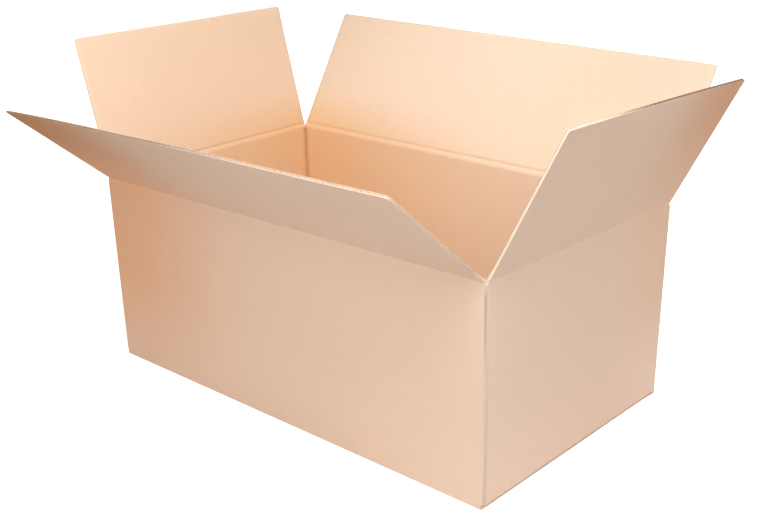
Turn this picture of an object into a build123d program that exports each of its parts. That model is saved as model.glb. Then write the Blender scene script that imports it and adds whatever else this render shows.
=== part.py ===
from build123d import *
from math import radians, tan
import os

# A regular slotted case of single-wall board, erected and standing open. Sizes are millimetres.
# +X runs along the case and +Y across it, and the origin is the middle of its base.
# The side walls face -Y and +Y, and the end walls face -X and +X.

# Outside of the case, from face to face, and from the ground to the crease of the side walls
case_length = 610.0
case_width = 356.0
case_height = 254.0

# The board, and what a fold does to it
board = 4.0
fold_radius = 2.5  # outside of a folded corner
score_reach = 5.0  # crushed strip inside a folded corner, on each of its two panels
score_depth = 2.0  # how far that strip sinks at the corner
crease_bevel = 46.0  # degrees of crushed board on each side of a flap's crease
crease_round = 3.0  # soft inner lip of that crushed board
crease_gap = 0.1  # from a flap's hinge line to the board above and below it

# The slots between flaps
slot_overrun = 7.0  # how far a slot runs past the crease into the walls
long_inset = 3.0  # side edge of a long flap, in from the face of the end wall
side_clearance = 0.5  # from the side edge of a short flap to the side wall that it folds inside

# Flaps that meet when the case is closed
meeting_gap = 0.5  # left between the edges of two long flaps
flap_clearance = 0.6  # from a closed short flap to the long flaps above it

# How far each open flap leans out of upright
front_lean = 50.3  # degrees
back_lean = 32.1  # degrees
left_lean = 15.9  # degrees
right_lean = 26.8  # degrees

# The glued corner, where the end wall's tab lies inside the front wall
joint_step = 1.0  # raw edge of the front wall, in from the face of the end wall
glue_press = 0.3  # board crushed under the glue
tab_reach = 35.0  # glued width of the tab
tab_taper = 14.0  # what the tab loses at its top and at its foot over that width

half_length = case_length / 2
half_width = case_width / 2
inner_x = half_length - board
inner_y = half_width - board
flap_reach = half_width - meeting_gap / 2
short_inset = board + side_clearance
long_crease = case_height
short_crease = case_height - board - flap_clearance
short_reach = flap_reach + long_crease - short_crease  # all flaps end on one straight edge of the sheet
bevel_drop = board * tan(radians(crease_bevel))
double = 2 * board  # two boards, one lying on the other
margin = 1.0  # by which a cutting solid overshoots what it cuts
near = 0.01  # within which an edge or a point counts as found


def block(x, y, z):
    """A solid box from three pairs of limits, each given as (low, high)."""
    size = [high - low for low, high in (x, y, z)]
    corner = [low for low, high in (x, y, z)]
    return Pos(*corner) * Box(*size, align=(Align.MIN, Align.MIN, Align.MIN))


def hinge_place(turn, out, height):
    """The frame of a crease: its X runs along the hinge line and its Y points into the case."""
    return Rot(0, 0, turn) * Pos(0, -out, height)


front_crease = hinge_place(0, half_width, long_crease)
back_crease = hinge_place(180, half_width, long_crease)
right_crease = hinge_place(90, half_length, short_crease)
left_crease = hinge_place(-90, half_length, short_crease)


def inside_corner(side_x, side_y):
    """Plan points of an inner corner, sunk along the score where the wall was folded."""
    if (side_x, side_y) == (1, -1):
        return [(inner_x, -inner_y)]
    first = (side_x * inner_x, side_y * (inner_y - score_reach))
    deepest = (side_x * (inner_x + score_depth), side_y * (inner_y + score_depth))
    last = (side_x * (inner_x - score_reach), side_y * inner_y)
    return [first, deepest, last] if side_x == side_y else [last, deepest, first]


def sleeve():
    """The four walls as one folded sleeve, open at the corner that is glued."""
    outline = Rectangle(case_length, case_width)
    folds = [v for v in outline.vertices() if not (v.X > 0 and v.Y < 0)]
    outline = fillet(folds, fold_radius)
    corners = [(1, 1), (-1, 1), (-1, -1), (1, -1)]
    inside = [point for x, y in corners for point in inside_corner(x, y)]
    outline -= make_face(Polyline(*inside, close=True))
    return extrude(outline, case_height)


def tab_fold():
    """The end wall's last strip, which turns inwards behind the front wall as the glue tab."""
    face_y = board - glue_press - half_width
    strip = Pos(half_length, face_y) * Rectangle(board, double, align=(Align.MAX, Align.MIN))
    outer = [v for v in strip.vertices() if v.X > half_length - near and v.Y < face_y + near]
    fold = extrude(fillet(outer, fold_radius), case_height)
    low = double + side_clearance
    high = short_crease - board - side_clearance
    far = inner_x - tab_reach
    outline = [(inner_x, low), (inner_x, high), (far, high - tab_taper), (far, low + tab_taper)]
    flat = extrude(Plane.XZ * make_face(Polyline(*outline, close=True)), -board)
    return fold + Pos(0, face_y, 0) * flat


def glued_corner(walls):
    """Open the sleeve at its glued corner, then lay the tab behind the raw edge of the front wall."""
    full_height = (-margin, case_height + margin)
    across = (-half_width - margin, double - half_width)
    walls -= block((inner_x, half_length + margin), across, full_height)
    front_end = block((inner_x, half_length - joint_step), (-half_width, -inner_y), (0, case_height))
    return walls + front_end + tab_fold()


def corner_slots(low, high):
    """What the slots between the flaps take from the four corners of the walls."""
    cut = []
    wall_x = (inner_x, half_length + margin)
    fold_x = (half_length - long_inset, half_length + margin)
    beside_end = block(wall_x, (half_width - short_inset, inner_y), (low, high))
    through_fold = block(fold_x, (inner_y, half_width + margin), (low, high))
    for side_x in (-1, 1):
        for side_y in (-1, 1):
            glued = (side_x, side_y) == (1, -1)
            tool = beside_end if glued else beside_end + through_fold
            tool = mirror(tool, Plane.YZ) if side_x < 0 else tool
            cut.append(mirror(tool, Plane.XZ) if side_y < 0 else tool)
    return cut


def closed_bottom():
    """The four bottom flaps folded shut: the short pair inside, glued onto the long pair."""
    flaps = []
    short_end = half_length - flap_reach - board  # the short pair folds a board higher up the sheet
    for side in (-1, 1):
        y = sorted((side * meeting_gap / 2, side * half_width))
        x = sorted((side * short_end, side * half_length))
        flaps.append(block((long_inset - half_length, half_length - long_inset), y, (0, board)))
        flaps.append(block(x, (short_inset - half_width, half_width - short_inset), (board, double)))
    return flaps


def bevelled(points, lip, span):
    """A solid along a crease from its section, with the inner lip of the bevel softened."""
    outline = make_face(Polyline(*points, close=True))
    inner = [v for v in outline.vertices() if v.distance_to(Vertex(*lip)) < near]
    return extrude(Plane.YZ * fillet(inner, crease_round), span / 2, both=True)


def crease_cut(span, height):
    """What a flap's crease takes from the top of a wall, in the frame of that crease."""
    inner = board + margin
    lip = (board, -crease_gap - bevel_drop)
    foot = lip[1] - crease_round
    bevel = [(-margin, -crease_gap), (0, -crease_gap), lip, (board, foot)]
    return bevelled([*bevel, (inner, foot), (inner, height), (-margin, height)], lip, span)


def flap(place, span, reach, lean):
    """A top flap: a flat panel bevelled along its crease, leaning out of upright about that crease."""
    lip = (board, crease_gap + bevel_drop)
    panel = bevelled([(0, crease_gap), lip, (board, reach), (0, reach)], lip, span)
    return place * Rot(lean, 0, 0) * panel


def carton_body():
    """Walls, glue tab and closed bottom, which are one folded and glued sheet."""
    body = glued_corner(sleeve())
    body -= corner_slots(case_height - slot_overrun, case_height + margin)
    body -= corner_slots(-margin, slot_overrun)
    for side in (-1, 1):
        x = sorted((side * inner_x, side * (half_length + margin)))
        body -= block(x, (-inner_y, inner_y), (-margin, board))
    body += closed_bottom()
    body = fillet(bottom_folds(body), fold_radius)
    for place in (front_crease, back_crease):
        body -= place * crease_cut(case_length + margin, margin)
    for place in (left_crease, right_crease):
        body -= place * crease_cut(2 * inner_y, case_height - short_crease + margin)
    return body


def bottom_folds(body):
    """The outer edges where the walls turn under, the end walls a board above the side walls."""
    found = []
    for edge in body.edges():
        middle = edge.center()
        under_side = abs(abs(middle.Y) - half_width) < near and abs(middle.Z) < near
        under_end = abs(abs(middle.X) - half_length) < near and abs(middle.Z - board) < near
        if under_side or under_end:
            found.append(edge)
    return found


long_span = case_length - 2 * long_inset
short_span = case_width - 2 * short_inset

nodes = {
    "carton_body": carton_body(),
    "front_flap": flap(front_crease, long_span, flap_reach, front_lean),
    "back_flap": flap(back_crease, long_span, flap_reach, back_lean),
    "left_flap": flap(left_crease, short_span, short_reach, left_lean),
    "right_flap": flap(right_crease, short_span, short_reach, right_lean),
}

os.makedirs("parts", exist_ok=True)
for name, shape in nodes.items():
    export_step(shape, f"parts/{name}.step")
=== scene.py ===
import bpy
import numpy as np
from mathutils import Matrix, Vector


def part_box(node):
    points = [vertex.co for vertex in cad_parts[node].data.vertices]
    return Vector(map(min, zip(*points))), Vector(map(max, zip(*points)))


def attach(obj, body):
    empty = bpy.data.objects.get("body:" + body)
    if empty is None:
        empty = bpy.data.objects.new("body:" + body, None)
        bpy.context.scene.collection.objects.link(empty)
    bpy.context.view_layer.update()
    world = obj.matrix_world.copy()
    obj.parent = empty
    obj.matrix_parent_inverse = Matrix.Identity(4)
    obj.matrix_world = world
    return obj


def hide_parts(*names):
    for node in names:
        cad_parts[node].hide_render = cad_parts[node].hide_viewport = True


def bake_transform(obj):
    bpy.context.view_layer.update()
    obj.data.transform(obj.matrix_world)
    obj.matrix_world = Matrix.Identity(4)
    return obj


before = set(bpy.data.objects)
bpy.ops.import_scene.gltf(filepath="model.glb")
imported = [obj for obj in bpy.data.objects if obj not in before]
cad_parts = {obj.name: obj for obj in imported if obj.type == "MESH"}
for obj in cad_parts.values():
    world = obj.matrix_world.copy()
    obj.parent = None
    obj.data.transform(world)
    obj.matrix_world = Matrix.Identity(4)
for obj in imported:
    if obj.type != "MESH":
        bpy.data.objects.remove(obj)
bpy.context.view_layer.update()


# Walls
# One sheet of single-wall corrugated board, 4 mm thick, scored and folded into a sleeve of four walls.
# Its last strip is the glue tab, stuck behind the front wall's raw end at the right front corner.
# The board's lengths are millimetres, while the paper's pattern, the meshes and the studio are in metres.
board = 4.0
liner = 0.35  # paper on each face of the board
medium = 0.26  # the fluted paper between them
flute_length = 7.8
half_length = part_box("carton_body")[1].x * 1000
half_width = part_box("carton_body")[1].y * 1000
mouth_height = 254.0
fold_radius = 2.5
fold_length = fold_radius * np.pi / 2  # outer paper round a square fold
slot_foot, slot_top = 7.0, 250.5  # the walls lie between the ends of the slots
raw_end = half_length - 0.4  # where the front wall stops at the glued corner
end_trim = 0.9  # what the raw end lacks of that higher up
tab_face = board - half_width
tab_width, tab_low, tab_high, tab_taper = 36.5, 8.5, 244.9, 14.0
crushed = 2.2  # board lost at the middle of a square fold
crush_reach = 8.5
score_flat = 0.8  # half of the strip in which a score is fully crushed
pocket_depth = 0.9  # how far a cut edge opens between its papers, at most
pocket_slope = 0.9  # and against the width of the opening
pocket_section = ((0, 0), (0.15, 0.85), (0.5, 1), (0.85, 0.85), (1, 0))  # share of its width, share of its depth
crisp_angle = 0.7  # radians, past which an edge is shaded sharp
mark_outside, mark_inside = 2.2, 3.4  # how far from a fold its mark shows on each face
stretch_and_highlight, dark_mark = 1, -5  # paper that is stretched thin, also a painted highlight at the raw end, and paper in a painted shadow
mouth_shift = {  # how far each corner of the mouth stands out of square
    (1, -1): (-1.1, 0, 1),
    (-1, -1): (-2.1, -3.2, -2),
    (1, 1): (3.3, -0.3, -2.3),
    (-1, 1): (0, 0.1, -0.1),
}


def running(rate, place):
    """Running total of a rate over a length, as the sum of the mean of each two neighbours times their step."""
    part = (rate[..., 1:] + rate[..., :-1]) / 2 * np.diff(place)
    return np.concatenate([np.zeros(rate.shape[:-1] + (1,)), np.cumsum(part, axis=-1)], axis=-1)


def ease(x):
    """A step from 0 to 1 with level ends: 3 x squared less 2 x cubed, for x held between 0 and 1."""
    x = np.clip(x, 0, 1)
    return x * x * (3 - 2 * x)


def crush(distance, loss, reach):
    """Board left near a score: the full board, less a loss that fades evenly with distance from the score."""
    return board - loss * np.clip(1 - (np.abs(distance) - score_flat) / (reach - score_flat), 0, 1)


def settle(x, y, height):
    """Shift of a wall that stands out of square: the corners' shifts, weighted by nearness in plan and by height."""
    total = np.zeros(x.shape + (3,))
    for (side_x, side_y), shift in mouth_shift.items():
        weight = (1 + side_x * x / half_length) * (1 + side_y * y / half_width) / 4
        total += (weight * height / mouth_height)[..., None] * np.array(shift)
    return total


def cut_rows(place, thick, opened, wave):
    """Rows of a cut edge from the outer face to the inner: liner, hollow, fluted paper, hollow, liner.

    The fluted paper's height swings with the sine of the place along the sheet, and each hollow is as deep as
    pocket_slope times its width, up to pocket_depth. Returns pairs of a share of the thickness and a depth.
    """
    swing = (thick / 2 - liner - medium / 2) * wave
    middle = thick / 2 + swing * np.sin(2 * np.pi * place / flute_length)
    rows = []
    for low, high in ((liner, middle - medium / 2), (middle + medium / 2, thick - liner)):
        gap = np.maximum(high - low, 0)
        deep = opened * np.minimum(pocket_depth, pocket_slope * gap)
        for share, part in pocket_section:
            rows.append(((low + gap * share) / thick, deep * part))
    return rows


def board_piece(name, outer, inner, blank, folds, opened, wave, shade):
    """A piece of board from two grids of points, one for each face, closed by a rim round their border.

    blank holds each point's place on the flat sheet, folds a mark near each score on each face, pale for stretched
    paper and a painted highlight, below 0 for painted shade, and opened how far each border point's cut edge shows.
    A rim point lies between its two faces and sinks into the board by its row's depth. shade gives the painted shade
    on the cut edge, from a place on the sheet and a share of the thickness.
    """
    n, m = outer.shape[:2]
    index = np.arange(n * m).reshape(n, m)
    ring = np.concatenate([index[:-1, 0], index[-1, :-1], index[:0:-1, -1], index[0, :0:-1]])
    inward = np.zeros_like(outer)
    for border, beside in ((np.s_[0], np.s_[1]), (np.s_[-1], np.s_[-2])):
        for at, next_to in ((np.s_[border, :], np.s_[beside, :]), (np.s_[:, border], np.s_[:, beside])):
            way = outer[next_to] - outer[at]
            inward[at] += way / np.linalg.norm(way, axis=-1, keepdims=True)
    flat_outer, flat_inner = outer.reshape(-1, 3), inner.reshape(-1, 3)
    thick = np.linalg.norm(flat_outer - flat_inner, axis=-1)[ring]
    sheet = blank.reshape(-1, 2)
    points, places, ladder = [flat_outer, flat_inner], [sheet, sheet], [ring]
    marks = {
        "cut": [np.zeros(2 * n * m)],
        "inside": [np.zeros(n * m), np.ones(n * m)],
        "fold": [mark.reshape(-1) for mark in folds],
    }
    for share, depth in cut_rows(sheet[ring, 0], thick, opened, wave):
        ladder.append(np.arange(len(ring)) + sum(len(p) for p in points))
        share, depth = share[:, None], depth[:, None]
        points.append(flat_outer[ring] * (1 - share) + flat_inner[ring] * share + inward.reshape(-1, 3)[ring] * depth)
        places.append(sheet[ring])
        marks["cut"].append(np.ones(len(ring)))
        marks["inside"].append(share[:, 0])
        marks["fold"].append(-shade(sheet[ring], share[:, 0]))
    ladder = np.array(ladder + [ring + n * m])
    turned = np.roll(ladder, -1, axis=1)
    face = np.stack([index[:-1, :-1], index[1:, :-1], index[1:, 1:], index[:-1, 1:]], -1).reshape(-1, 4)
    rim = np.stack([ladder[:-1], ladder[1:], turned[1:], turned[:-1]], -1).reshape(-1, 4)
    faces = np.concatenate([face, face[:, ::-1] + n * m, rim])
    points = np.concatenate(points)
    a, b, c, d = (points[faces[:, k]] for k in range(4))
    if np.sum(a * (np.cross(b, c) + np.cross(c, d))) < 0:  # a volume below 0 means that the faces point inwards
        faces = faces[:, ::-1]
    mesh = bpy.data.meshes.new(name)
    mesh.vertices.add(len(points))
    mesh.vertices.foreach_set("co", (points / 1000).astype(np.float32).ravel())
    mesh.loops.add(faces.size)
    mesh.loops.foreach_set("vertex_index", faces.astype(np.int32).ravel())
    mesh.polygons.add(len(faces))
    mesh.polygons.foreach_set("loop_start", np.arange(0, faces.size, 4, dtype=np.int32))
    spread = (np.concatenate(places) / 1000)[faces.ravel()]
    mesh.uv_layers.new(name="blank").data.foreach_set("uv", spread.astype(np.float32).ravel())
    for mark, values in marks.items():
        values = np.concatenate(values).astype(np.float32)
        mesh.attributes.new(mark, "FLOAT", "POINT").data.foreach_set("value", values)
    mesh.update(calc_edges=True)
    mesh.validate()
    mesh.shade_smooth()
    mesh.set_sharp_from_angle(angle=crisp_angle)
    piece = bpy.data.objects.new(name, mesh)
    bpy.context.scene.collection.objects.link(piece)
    piece.data.materials.append(kraft)
    return piece


class Wire:
    """A socket of a material. Arithmetic on it adds Math nodes, and add() makes any other node."""

    def __init__(self, socket):
        self.socket = socket

    def add(self, kind, settings, sockets, out=0):
        """Make a node of a kind, set it, then give each of its sockets a value or a link."""
        tree = self.socket.id_data
        made = tree.nodes.new(kind)
        for name, value in settings.items():
            setattr(made, name, value)
        for key, value in sockets.items():
            if isinstance(value, Wire):
                tree.links.new(value.socket, made.inputs[key])
            else:
                made.inputs[key].default_value = value
        return Wire(made.outputs[out])

    def math(self, operation, first, second):
        return self.add("ShaderNodeMath", {"operation": operation}, {0: first, 1: second})

    def __add__(self, other):
        return self.math("ADD", self, other)

    def __radd__(self, other):
        return self.math("ADD", other, self)

    def __sub__(self, other):
        return self.math("SUBTRACT", self, other)

    def __rsub__(self, other):
        return self.math("SUBTRACT", other, self)

    def __mul__(self, other):
        return self.math("MULTIPLY", self, other)

    def __rmul__(self, other):
        return self.math("MULTIPLY", other, self)

    def link(self, socket):
        self.socket.id_data.links.new(self.socket, socket)


def linear(red, green, blue):
    """A screen colour of 0 to 255 as the linear colour that a shader takes."""
    share = np.array([red, green, blue]) / 255
    return (*np.where(share <= 0.04045, share / 12.92, ((share + 0.055) / 1.055) ** 2.4), 1.0)


# The warm and brown outer colours are painted shade.
kraft_outer, shaded_warm_outer, shaded_brown_outer = linear(206, 174, 150), linear(207, 155, 118), linear(186, 128, 83)
# The warm inner colour is painted bounce light and shade.
kraft_inner, bounced_warm_inner = linear(227, 192, 161), linear(224, 178, 133)
pale_inner, rosy_inner = linear(231, 205, 182), linear(226, 184, 157)
cut_paper, cut_hollow, cut_shadow = linear(228, 204, 182), linear(203, 172, 146), linear(128, 93, 70)

kraft = bpy.data.materials.new("kraft_board")
kraft.use_nodes = True
shader = kraft.node_tree.nodes["Principled BSDF"]
paper = Wire(shader.outputs["BSDF"])
blank_place = paper.add("ShaderNodeUVMap", {"uv_map": "blank"}, {})
along = paper.add("ShaderNodeSeparateXYZ", {}, {0: blank_place}, 0)  # metres along the sheet from the raw end
up = paper.add("ShaderNodeSeparateXYZ", {}, {0: blank_place}, 1)  # metres up it from the ground
cut = paper.add("ShaderNodeAttribute", {"attribute_name": "cut"}, {}, "Fac")
inside = paper.add("ShaderNodeAttribute", {"attribute_name": "inside"}, {}, "Fac")
fold_paling_and_shade = paper.add("ShaderNodeAttribute", {"attribute_name": "fold"}, {}, "Fac")
front_left, back_left, back_right = 0.612, 0.964, 1.573  # corners of the walls, along the sheet
crease = 0.25  # about where the top flaps begin, up the sheet


def paper_noise(grains_along, grains_up, detail, roughness):
    """Noise on the flat sheet, with its own number of grains in a metre along the sheet and up it."""
    grain = paper.add("ShaderNodeCombineXYZ", {}, {0: along * grains_along, 1: up * grains_up, 2: inside * 7.3})
    sockets = {"Vector": grain, "Scale": 1.0, "Detail": detail, "Roughness": roughness}
    return paper.add("ShaderNodeTexNoise", {}, sockets) - 0.5


def mixed(share, first, second):
    """A colour or a number between two others."""
    return paper.add("ShaderNodeMix", {"data_type": "RGBA"}, {0: share, 6: first, 7: second}, 2)


def step_up(value, low, high):
    """A smooth step from 0 at low to 1 at high."""
    return paper.add("ShaderNodeMapRange", {"interpolation_type": "SMOOTHSTEP"}, {0: value, 1: low, 2: high})


def around(centre, reach):
    """How near a point is to a place along the sheet: 1 there and 0 beyond the reach."""
    return step_up(paper.math("ABSOLUTE", along - centre, 0.0), reach, 0.0)


# Kraft paper is cloudy and finely mottled, with its fibres lying along the sheet and a few dark flecks.
clouds = paper_noise(9.0, 7.0, 3.0, 0.55)
mottle = paper_noise(70.0, 55.0, 3.0, 0.6)
fibres = paper_noise(420.0, 1500.0, 2.0, 0.6)
flecks = step_up(paper_noise(150.0, 130.0, 1.0, 0.4), 0.24, 0.32)
flutes = paper.add("ShaderNodeMath", {"operation": "SINE"}, {0: along * (2000 * np.pi / flute_length)})

# Painted shade darkens the outer paper on the front flap and towards two corners, and painted light from the floor's
# bounce makes all paper paler at its foot.
outside = 1.0 - inside
on_flap = step_up(up, crease, 0.42)
front_flap_shade = step_up(along, 0.66, 0.61) * on_flap * outside * (0.06 + around(0.5, 0.32) * 0.13)
corner_shade = mixed(on_flap, around(0.0, 0.16), around(back_right, 0.2)) * outside * 0.06
floor_bounce_light = step_up(up, 0.15, 0.0) * (0.06 + around(back_right, 0.15) * 0.08)
# The flutes term paints faint shade lines of the washboard. The fold term pales stretched folds, paints a highlight
# at the raw end and paints shade in the dark folds.
pulp_and_shade = 1.0 + clouds * 0.05 + mottle * 0.045 + fibres * 0.07 + flutes * 0.003 + fold_paling_and_shade * 0.03
brightness = pulp_and_shade + floor_bounce_light - front_flap_shade - corner_shade - flecks * 0.09

# Painted shade: the outer paper turns warmer towards two corners, and brown on the flaps there, where less light
# falls.
right_warm_shade = around(back_right, 0.15) * 0.35 * step_up(up, 0.06, 0.2)
right_brown_shade = around(back_right, 0.2) * step_up(along, 1.49, 1.58) * 0.6
outer_tone_and_shade = mixed((around(front_left, 0.3) + right_warm_shade) * step_up(up, -0.05, 0.15), kraft_outer, shaded_warm_outer)
outer_tone_and_shade = mixed((around(front_left, 0.22) + right_brown_shade) * on_flap, outer_tone_and_shade, shaded_brown_outer)

# The inner paper is rosier and paler on the back flap, and has painted bounce light and shade, warmer and darker, on
# the walls round the far left corner.
inner_tone_and_bounce = mixed(around(back_right, 0.32) * on_flap, kraft_inner, rosy_inner)
inner_tone_and_bounce = mixed(around(1.17, 0.33) * step_up(up, crease, 0.28) * 0.4, inner_tone_and_bounce, pale_inner)
inner_tone_and_bounce = mixed(around(back_left, 0.4) * (1.0 - step_up(up, crease, 0.32)), inner_tone_and_bounce, bounced_warm_inner)

tone_and_shade = mixed(inside, outer_tone_and_shade, inner_tone_and_bounce)
liner_colour = paper.add("ShaderNodeVectorMath", {"operation": "SCALE"}, {0: tone_and_shade, "Scale": brightness})
# Cut edges darken towards cut_shadow by the painted shade that the fold attribute carries.
edge_colour = mixed(0.0 - fold_paling_and_shade, mixed(mottle * 2.0 + 0.3, cut_paper, cut_hollow), cut_shadow)
mixed(cut, liner_colour, edge_colour).link(shader.inputs["Base Color"])
(0.75 + fibres * 0.2 + cut * 0.1).link(shader.inputs["Roughness"])
shader.inputs["Specular IOR Level"].default_value = 0.2
grain_height = flutes * 0.12 + fibres * 1.2
relief = paper.add("ShaderNodeBump", {}, {"Strength": 0.5, "Distance": 0.0002, "Height": grain_height})
relief.link(shader.inputs["Normal"])

straight = [raw_end + half_length - fold_radius, 2 * (half_width - fold_radius), 2 * (half_length - fold_radius),
            half_width - fold_radius - tab_face - fold_radius, tab_width]  # runs between the folds, along the sheet
middles = np.cumsum(straight[:-1]) + fold_length * (np.arange(4) + 0.5)  # the middles of the folds
sheet_end = sum(straight) + 4 * fold_length

# Stations along the sheet stand close together at the folds and at both cut ends, and 12 mm apart elsewhere.
from_middle = np.array([0, 0.65, 1.3, fold_length / 2, 2.6, 3.5, 5, 7, 9])
from_cut = np.array([0.6, 1.4, 2.6])
plain = np.linspace(0, sheet_end, 170)
plain = plain[np.abs(plain[:, None] - middles).min(axis=1) > 11]
close = np.concatenate([middles[:, None] + from_middle, middles[:, None] - from_middle]).ravel()
stations = np.unique(np.round(np.concatenate([close, plain, from_cut, sheet_end - from_cut]), 4))

# The line of the walls in plan, turning a right angle at each fold, and the height of its rows of points
from_fold = stations[:, None] - middles
turn = np.clip(from_fold / fold_length + 0.5, 0, 1).sum(axis=1) * np.pi / 2
wall_x = raw_end + running(-np.cos(turn), stations)
wall_y = -half_width + running(np.sin(turn), stations)
wall_board = crush(from_fold, crushed, crush_reach).min(axis=1)
inner_x = wall_x + wall_board * np.sin(turn)
inner_y = wall_y + wall_board * np.cos(turn)
on_tab = np.clip((stations - middles[3]) / tab_width, 0, 1)
wall_low = np.where(on_tab > 0, tab_low + tab_taper * on_tab, slot_foot)
wall_high = np.where(on_tab > 0, tab_high - tab_taper * on_tab, slot_top)
wall_z = wall_low[:, None] + (wall_high - wall_low)[:, None] * np.linspace(0, 1, 21)


def wall_points(x, y):
    """One face of the sleeve: its line in plan carried up the walls, with the walls' lean added.

    The raw end is short by end_trim times an easing of the height, and that fades as the exponential of the
    distance along the sheet.
    """
    grid = np.stack(np.broadcast_arrays(x[:, None], y[:, None], wall_z), -1)
    grid += settle(grid[..., 0], grid[..., 1], wall_z)
    grid[..., 0] -= end_trim * np.exp(-stations / 5)[:, None] * ease((wall_z - 90) / 110)
    return grid


def wall_marks(width, strength):
    """How a face shows its folds and the raw end: a bell of the distance from each, times a strength."""
    bells = np.exp(-(np.abs(from_fold).min(axis=1) / width) ** 2) + np.exp(-(stations / 0.8) ** 2)
    return np.broadcast_to((bells * strength)[:, None], wall_z.shape)


def end_shade(place, share):
    """The front wall's raw end lies in the corner's own shadow, most of all near the top."""
    dark = (0.2 + 0.3 * ease((place[:, 1] - 150) / 90)) * (1 - ease((place[:, 1] - 245) / 4))
    return np.where(place[:, 0] < 0.01, dark, 0.05)


# The outer folds are pale, but for the tab's, which has painted shade behind the raw end, and the inner ones all have
# painted shade; the outer face has a painted highlight at the raw end.
outer_paling_and_shade = np.where(stations < middles[3] - 30, stretch_and_highlight, dark_mark)
walls = board_piece(
    "wall_sleeve", wall_points(wall_x, wall_y), wall_points(inner_x, inner_y),
    np.stack(np.broadcast_arrays(stations[:, None], wall_z), -1),
    [wall_marks(mark_outside, outer_paling_and_shade), wall_marks(mark_inside, dark_mark)], opened=1.0, wave=0.0, shade=end_shade)
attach(walls, "carton")
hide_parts("carton_body")


# Bottom flaps
# Four panels of the same sheet, folded shut under the walls: the short pair inside, glued onto the long pair.
# Their scored folds are square, and the long pair's cut edges meet along the middle of the base.
meeting_gap = 0.5
side_walls = {"front": (0, -1), "back": (0, 1), "left": (-1, 0), "right": (1, 0)}
half_span = {"front": 302.0, "back": 302.0, "left": 173.5, "right": 173.5}  # half of a flap's width along its fold
fold_step = {"front": 0, "back": 0, "left": board, "right": board}  # the short pair folds a board higher
foot_flare = {"front": 0, "back": 2.2, "left": 0, "right": 3.2}  # fills the far right corner
sheet_middle = {"front": raw_end, "left": middles[0] + half_width, "back": middles[1] + half_length,
                "right": middles[2] + half_width}  # where each wall's middle lies along the flat sheet
sheet_way = {"front": -1, "left": 1, "back": 1, "right": -1}
hidden_columns, shown_columns = 6, 8  # of points to each flute
groove_end = 3.0  # length over which a top crease's groove closes before the cut
rim_worn, rim_reach = 0.9, 1.2  # how much thinner every cut edge is, and how far in
side_reach, edge_reach = 1.6, 2.5  # how far more wear reaches in from a side edge and from the free edge
wear_start, wear_growth = 10, 8  # side wear begins this far from the crease and grows over this length
flare_out, flare_in = 9, 4  # how far a widened root reaches out from the crease and in from the side
plain_wear = (0.5, 0.5, 0, 0)


def folded_panel(name, side, down, heading, profile, columns, kept, wear, shade,
                 tips=((0, 1), (0, 1)), lift=None, longer=(0, 0), flare=0):
    """A flap with the strip of wall that carries it, bent from a flat sheet.

    The line from the wall to the flap's edge turns by heading, an angle from upright given at each point, so its
    place is the running total of the angle's sine (outwards) and cosine (up or down). The inner face lies one
    board inside the outer face, square to the line, and kept gives the board left near the crease. wear is the
    board lost at each side edge, all along the free edge and more at its first end, tips how far each outer corner
    is blunted and over what length, lift adds a bow, longer is what each end has to spare and flare how much wider
    the last end is at the crease.
    """
    span_half = half_span[side]
    across = np.linspace(-span_half, span_half, int(2 * span_half / flute_length * columns))[:, None]
    from_side, from_edge = span_half - np.abs(across), profile[-1] - profile
    angle = heading(across, profile)
    out, climb = running(np.sin(angle), profile), running(np.cos(angle), profile)
    stretch = (longer[0] + (longer[1] - longer[0]) * (across / span_half + 1) / 2) / profile[-1]
    out, climb = out * (1 + stretch), climb + stretch * np.maximum(climb + profile[0], 0)
    whole = 0 if down else np.exp(-from_side / groove_end)
    thick = kept(profile) + (board - kept(profile)) * whole + 0 * angle
    side_loss = np.where(across > 0, wear[1], wear[0]) * np.exp(-from_side / side_reach)
    side_loss = side_loss * ease((profile - wear_start) / wear_growth)
    edge_loss = (wear[2] + wear[3] * ease(0.3 - 2 * across / span_half)) * np.exp(-from_edge / edge_reach)
    rim_loss = rim_worn * np.exp(-np.minimum(from_side, from_edge) / rim_reach)
    rim_loss = rim_loss * (1 - whole * np.exp(-(profile / 7) ** 2))
    thick = thick - np.maximum.reduce([rim_loss, side_loss, edge_loss])
    bow = lift(across / span_half, profile) if lift else 0
    amount, reach = (np.where(across > 0, last, first) for first, last in zip(*tips))
    blunt = amount * np.exp(-(from_side + from_edge) / reach)
    flared = flare * np.exp(-np.maximum(profile, 0) / flare_out) * np.exp(-(span_half - across) / flare_in)
    level = across - blunt * np.sign(across) + flared
    out, climb = out - blunt * np.sin(angle), climb - blunt * np.cos(angle)
    way_x, way_y = side_walls[side]
    face = half_length if way_x else half_width
    base, sign = (slot_foot, -1) if down else (slot_top, 1)
    wall_height = np.clip(base + sign * (np.minimum(profile, 0) - profile[0]), 0, mouth_height) + 0 * level
    grids = []
    for depth in (0 * thick, thick):
        outward = face + out - (depth + bow) * np.cos(angle)
        z = base + sign * (climb + (depth + bow) * np.sin(angle))
        if way_x:
            x, y = outward * way_x, level
            shift = settle(np.full_like(x, face * way_x), y, wall_height)
        else:
            x, y = level, outward * way_y
            shift = settle(x, np.full_like(y, face * way_y), wall_height)
        grids.append(np.stack([x, y, z], -1) + shift)
    blank = np.stack(np.broadcast_arrays(sheet_middle[side] + sheet_way[side] * across,
                                         base + sign * (profile - profile[0])), -1)
    score = np.exp(-(profile / mark_outside) ** 2) + 0 * across
    n, m = angle.shape
    opened = np.ones(2 * (n - 1) + 2 * (m - 1))
    opened[:n] = 0  # the edge that lies on the wall isn't cut
    folds = [score, score - 8 * np.maximum(side_loss - 0.5, 0)]  # the inner face has a painted dark line of shade along a much thinned side edge
    return board_piece(name, *grids, blank, folds, opened, wave=1.0, shade=shade)


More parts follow.
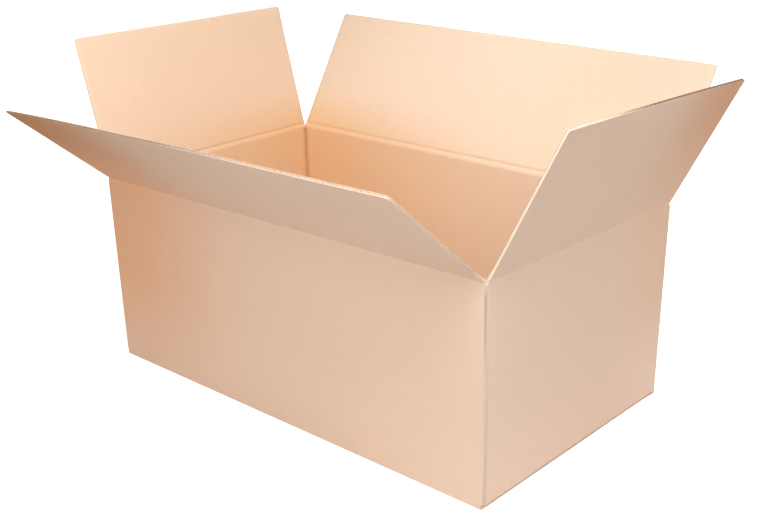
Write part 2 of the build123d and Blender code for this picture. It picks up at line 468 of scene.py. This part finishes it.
def bottom_panel(side):
    """A bottom flap: its line turns a square corner inwards over the fold, then runs level."""
    start = -(slot_foot - fold_step[side] - fold_radius) - fold_length / 2
    stop = fold_length / 2 + half_width - fold_radius - meeting_gap / 2 + fold_step[side]
    profile = np.concatenate([[start, -5, -3.2, -2.4], np.linspace(-fold_length / 2, fold_length / 2, 7),
                              [2.6, 3.5, 5, 7, 9], np.linspace(14, stop - 4, 12), stop - np.array([2, 0.8, 0])])
    profile = np.unique(profile[profile >= start])

    def heading(u, t):
        return -np.pi / 2 * np.clip(t / fold_length + 0.5, 0, 1) + 0 * u

    def kept(t):
        return crush(t, crushed, crush_reach)

    def shade(place, share):
        return 0.1 + 0 * share

    return folded_panel(f"bottom_{side}_flap", side, True, heading, profile, hidden_columns, kept, plain_wear, shade,
                        flare=foot_flare[side])


for side in side_walls:
    panel = bottom_panel(side)
    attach(panel, "carton")
    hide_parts("carton_body")


# Top flaps
# Four panels of the same sheet, each bent outwards at its scored crease, where the paper runs on from wall to flap.
# Their side and free edges are cut raw, with the flutes showing, and each panel is a little bowed or twisted.
# A lean is in degrees out of upright. Leans, spare board and tips are given for a flap's first end and its last.
leans = {"front": (50.5, 49.2), "back": (30.6, 33.5), "left": (16.4, 15.1), "right": (27.3, 26.8)}
spare = {"front": (-3.0, 1.9), "back": (2.3, -1.9), "left": (3.0, 2.2), "right": (5.7, -2.2)}  # cut past square
crease_height = {"front": 254.0, "back": 254.0, "left": 253.4, "right": 253.4}
bows = {"front": (1.8, -2.3), "back": (0.0, 0.0), "left": (0.0, 0.0), "right": (1.2, 0.0)}  # even and skewed
grooves = {"front": 1.7, "back": 1.7, "left": 1.3, "right": 1.7}  # board lost at each inner crease
edge_wear = {"front": (0.5, 2.6, 0.9, 1.5), "back": plain_wear, "left": plain_wear, "right": (1.3, 0.5, 0, 0)}
plain_tip = (0.6, 5)  # blunted by, and over what length
corner_tips = {"front": ((0.8, 8), (2.0, 5)), "back": (plain_tip, plain_tip), "left": (plain_tip, plain_tip),
               "right": (plain_tip, (0.2, 3))}
root_flare = {"front": 2.3, "back": 0, "left": 0, "right": 0}  # fills the glued corner's slot
flap_reach = 177.75
crease_width = 1.4  # length over which the outer paper bends


def top_panel(side):
    """A top flap: its line turns from the wall's heading to the flap's own lean over the crease."""
    first, last = np.radians(leans[side])
    profile = np.array([slot_top - crease_height[side], -2, -1.3, -0.9, -0.6, -0.3, 0, 0.3, 0.6, 0.9, 1.3, 2, 2.8,
                        3.2, 3.6, 4.4, 5.4, 6.4, 8, 11, 16, 32, 52, 76, 102, 128, 150, 165, 173, 175.6, 176.8,
                        flap_reach])

    def heading(u, t):
        """The lean changes evenly from one end of the flap to the other, and eases in over the crease."""
        lean = first + (last - first) * (u / half_span[side] + 1) / 2
        return lean * ease(t / crease_width + 0.5)

    def lift(u, t):
        """A bow that is 0 at both ends, as 1 less u squared, and grows with the way out to the power of 1.5."""
        return (1 - u ** 2) * (bows[side][0] + bows[side][1] * u) * np.clip(t / flap_reach, 0, 1) ** 1.5

    def kept(t):
        """The groove deepens evenly from 1.3 mm before the crease and closes again by 6.4 mm past it."""
        return board - grooves[side] * np.clip(np.minimum((t + 1.3) / 4.7, (6.4 - t) / 3.2), 0, 1)

    def shade(place, share):
        """Cut edges in shade: the front flap's low in the glued corner, and both flaps' towards their far ends."""
        if side == "right":
            return 0.85 * ease((sheet_middle[side] + half_span[side] - place[:, 0] - 50) / 120)
        if side == "front":
            above = place[:, 1] - crease_height[side]
            lit = 0.65 * ease((share - 0.3) / 0.2) * ease((22 - above) / 6)
            slot_side = 0.15 + 0.5 * ease((70 - above) / 60) - lit
            return np.where(place[:, 0] < 3, slot_side, 0.26 + 0.62 * ease((place[:, 0] - 150) / 300))
        return 0 * share

    return folded_panel(f"top_{side}_flap", side, False, heading, profile, shown_columns, kept, edge_wear[side],
                        shade, corner_tips[side], lift, spare[side], root_flare[side])


for side, (way_x, way_y) in side_walls.items():
    panel = top_panel(side)
    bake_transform(panel)
    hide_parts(f"{side}_flap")


# Floor and backdrop
# A plain white studio floor that takes the box's soft shadow, under a white surround.
# Both look white to the camera, and the surround gives the box only a little light.
floor_half = 12.0
floor_corners = [(x * floor_half, y * floor_half, 0) for x, y in ((-1, -1), (1, -1), (1, 1), (-1, 1))]
floor_mesh = bpy.data.meshes.new("floor")
floor_mesh.from_pydata(floor_corners, [], [(0, 1, 2, 3)])
floor = bpy.data.objects.new("floor", floor_mesh)
bpy.context.scene.collection.objects.link(floor)
floor_white = bpy.data.materials.new("floor_white")
floor_white.use_nodes = True
floor_shader = floor_white.node_tree.nodes["Principled BSDF"]
floor_shader.inputs["Base Color"].default_value = (0.88, 0.88, 0.88, 1)
floor_shader.inputs["Roughness"].default_value = 1.0
floor_shader.inputs["Specular IOR Level"].default_value = 0.0
floor_shader.inputs["Emission Color"].default_value = (1, 1, 1, 1)
seen = Wire(floor_shader.outputs["BSDF"]).add("ShaderNodeLightPath", {}, {}, "Is Camera Ray")
(seen * 0.86).link(floor_shader.inputs["Emission Strength"])
floor.data.materials.append(floor_white)

ambient = 0.18
world = bpy.data.worlds.new("studio")
bpy.context.scene.world = world
world.use_nodes = True
sky = world.node_tree.nodes["Background"]
sky.inputs["Color"].default_value = (1, 1, 1, 1)
surround = Wire(sky.outputs["Background"])
in_view, in_gloss, through_glass = (
    surround.add("ShaderNodeLightPath", {}, {}, f"Is {ray} Ray") for ray in ("Camera", "Glossy", "Transmission"))
white = surround.math("MAXIMUM", surround.math("MAXIMUM", in_view, in_gloss), through_glass)
(ambient + white * (1 - ambient)).link(sky.inputs["Strength"])


# Lamps and camera
# Large soft lamps on the camera's side and above, each with its place, size, power and tint.
# The camera stands a little above the box's right front corner, and leans by about one degree.
lamps = {
    "key": ((1.1, -1.25, 1.2), 0.8, 19.2, (0.9, 0.96, 1.0)),
    "window": ((0.6, -2.4, 1.2), 1.5, 20.3, (0.97, 0.99, 1.0)),
    "over": ((0.55, -0.45, 1.15), 0.5, 10.4, (0.76, 0.89, 1.0)),
    "high": ((0.0, 0.0, 1.15), 0.6, 0.8, (0.96, 0.98, 1.0)),
    "side": ((1.25, 0.95, 0.1), 0.6, 8.6, (0.92, 0.93, 1.0)),
    "low": ((-0.8, -1.4, 0.1), 0.6, 1.8, (1.0, 0.96, 0.96)),
    "behind": ((-1.9, 2.3, 1.1), 2.0, 27.0, (1.0, 1.0, 0.96)),
}
lamp_aim = Vector((0, 0, 0.15))
for name, (lamp_place, size, power, tint) in lamps.items():
    light = bpy.data.lights.new(name, "AREA")
    light.size = size
    light.energy = power
    light.color = tint
    lamp = bpy.data.objects.new(name, light)
    bpy.context.scene.collection.objects.link(lamp)
    lamp.location = lamp_place
    lamp.rotation_euler = (lamp_aim - Vector(lamp_place)).to_track_quat("-Z", "Y").to_euler()

azimuth, elevation, roll = np.radians([42.35, 20.21, -0.96])
focal_pixels, image_width, sensor_width = 1148.5, 757, 36.0
target, distance = np.array([-0.0298, 0.0351, 0.14]), 1.5066
back = np.array([np.sin(azimuth) * np.cos(elevation), -np.cos(azimuth) * np.cos(elevation), np.sin(elevation)])
right = np.cross(-back, [0, 0, 1])
right /= np.linalg.norm(right)
top = np.cross(back, right)
right, top = np.cos(roll) * right + np.sin(roll) * top, np.cos(roll) * top - np.sin(roll) * right
camera_place = target + back * distance
camera_data = bpy.data.cameras.new("camera")
camera_data.sensor_width = sensor_width
camera_data.lens = focal_pixels / image_width * sensor_width
camera = bpy.data.objects.new("camera", camera_data)
bpy.context.scene.collection.objects.link(camera)
camera.matrix_world = Matrix([*([right[k], top[k], back[k], camera_place[k]] for k in range(3)), [0, 0, 0, 1]])
bpy.context.scene.camera = camera
bpy.context.scene.view_settings.view_transform = "Standard"
